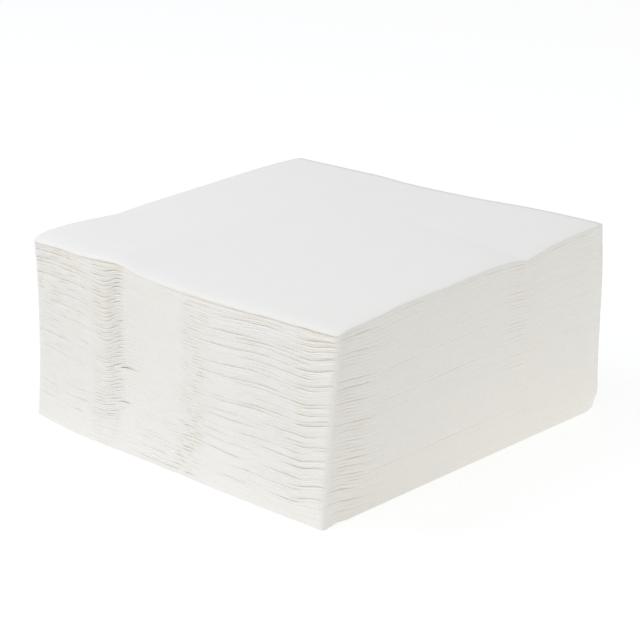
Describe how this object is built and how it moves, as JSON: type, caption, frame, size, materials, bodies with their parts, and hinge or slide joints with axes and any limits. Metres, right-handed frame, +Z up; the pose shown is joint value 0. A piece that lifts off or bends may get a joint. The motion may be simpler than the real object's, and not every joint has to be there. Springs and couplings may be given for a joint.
{
  "type": "stack of paper napkins",
  "caption": "Square pile of plain white paper napkins, quarter-folded, resting flat on its foot.",
  "frame": {"origin": "middle of the stack's bounding box, on the surface that it rests on", "axes": "+Z up through the stack; -Y the side of the first folds, two noses to a napkin; +X the side of the second folds, one nose to a napkin; the open edges face -X and +Y"},
  "size_m": [0.1729, 0.1729, 0.0784],
  "materials": {
    "tissue": "matte, soft, finely embossed"
  },
  "bodies": {
    "root": {"napkin_01": "tissue", "napkin_02": "tissue", "napkin_03": "tissue", "napkin_04": "tissue", "napkin_05": "tissue", "napkin_06": "tissue", "napkin_07": "tissue", "napkin_08": "tissue", "napkin_09": "tissue", "napkin_10": "tissue", "napkin_11": "tissue", "napkin_12": "tissue", "napkin_13": "tissue", "napkin_14": "tissue", "napkin_15": "tissue", "napkin_16": "tissue", "napkin_17": "tissue", "napkin_18": "tissue", "napkin_19": "tissue", "napkin_20": "tissue", "napkin_21": "tissue", "napkin_22": "tissue", "napkin_23": "tissue", "napkin_24": "tissue", "napkin_25": "tissue", "napkin_26": "tissue", "napkin_27": "tissue", "napkin_28": "tissue", "napkin_29": "tissue", "napkin_30": "tissue", "napkin_31": "tissue", "napkin_32": "tissue", "napkin_33": "tissue", "napkin_34": "tissue", "napkin_35": "tissue", "napkin_36": "tissue", "napkin_37": "tissue", "napkin_38": "tissue", "napkin_39": "tissue", "napkin_40": "tissue", "napkin_41": "tissue", "napkin_42": "tissue", "napkin_43": "tissue", "napkin_44": "tissue", "napkin_45": "tissue", "napkin_46": "tissue", "napkin_47": "tissue", "napkin_48": "tissue", "napkin_49": "tissue", "napkin_50": "tissue"}
  },
  "joints": []
}
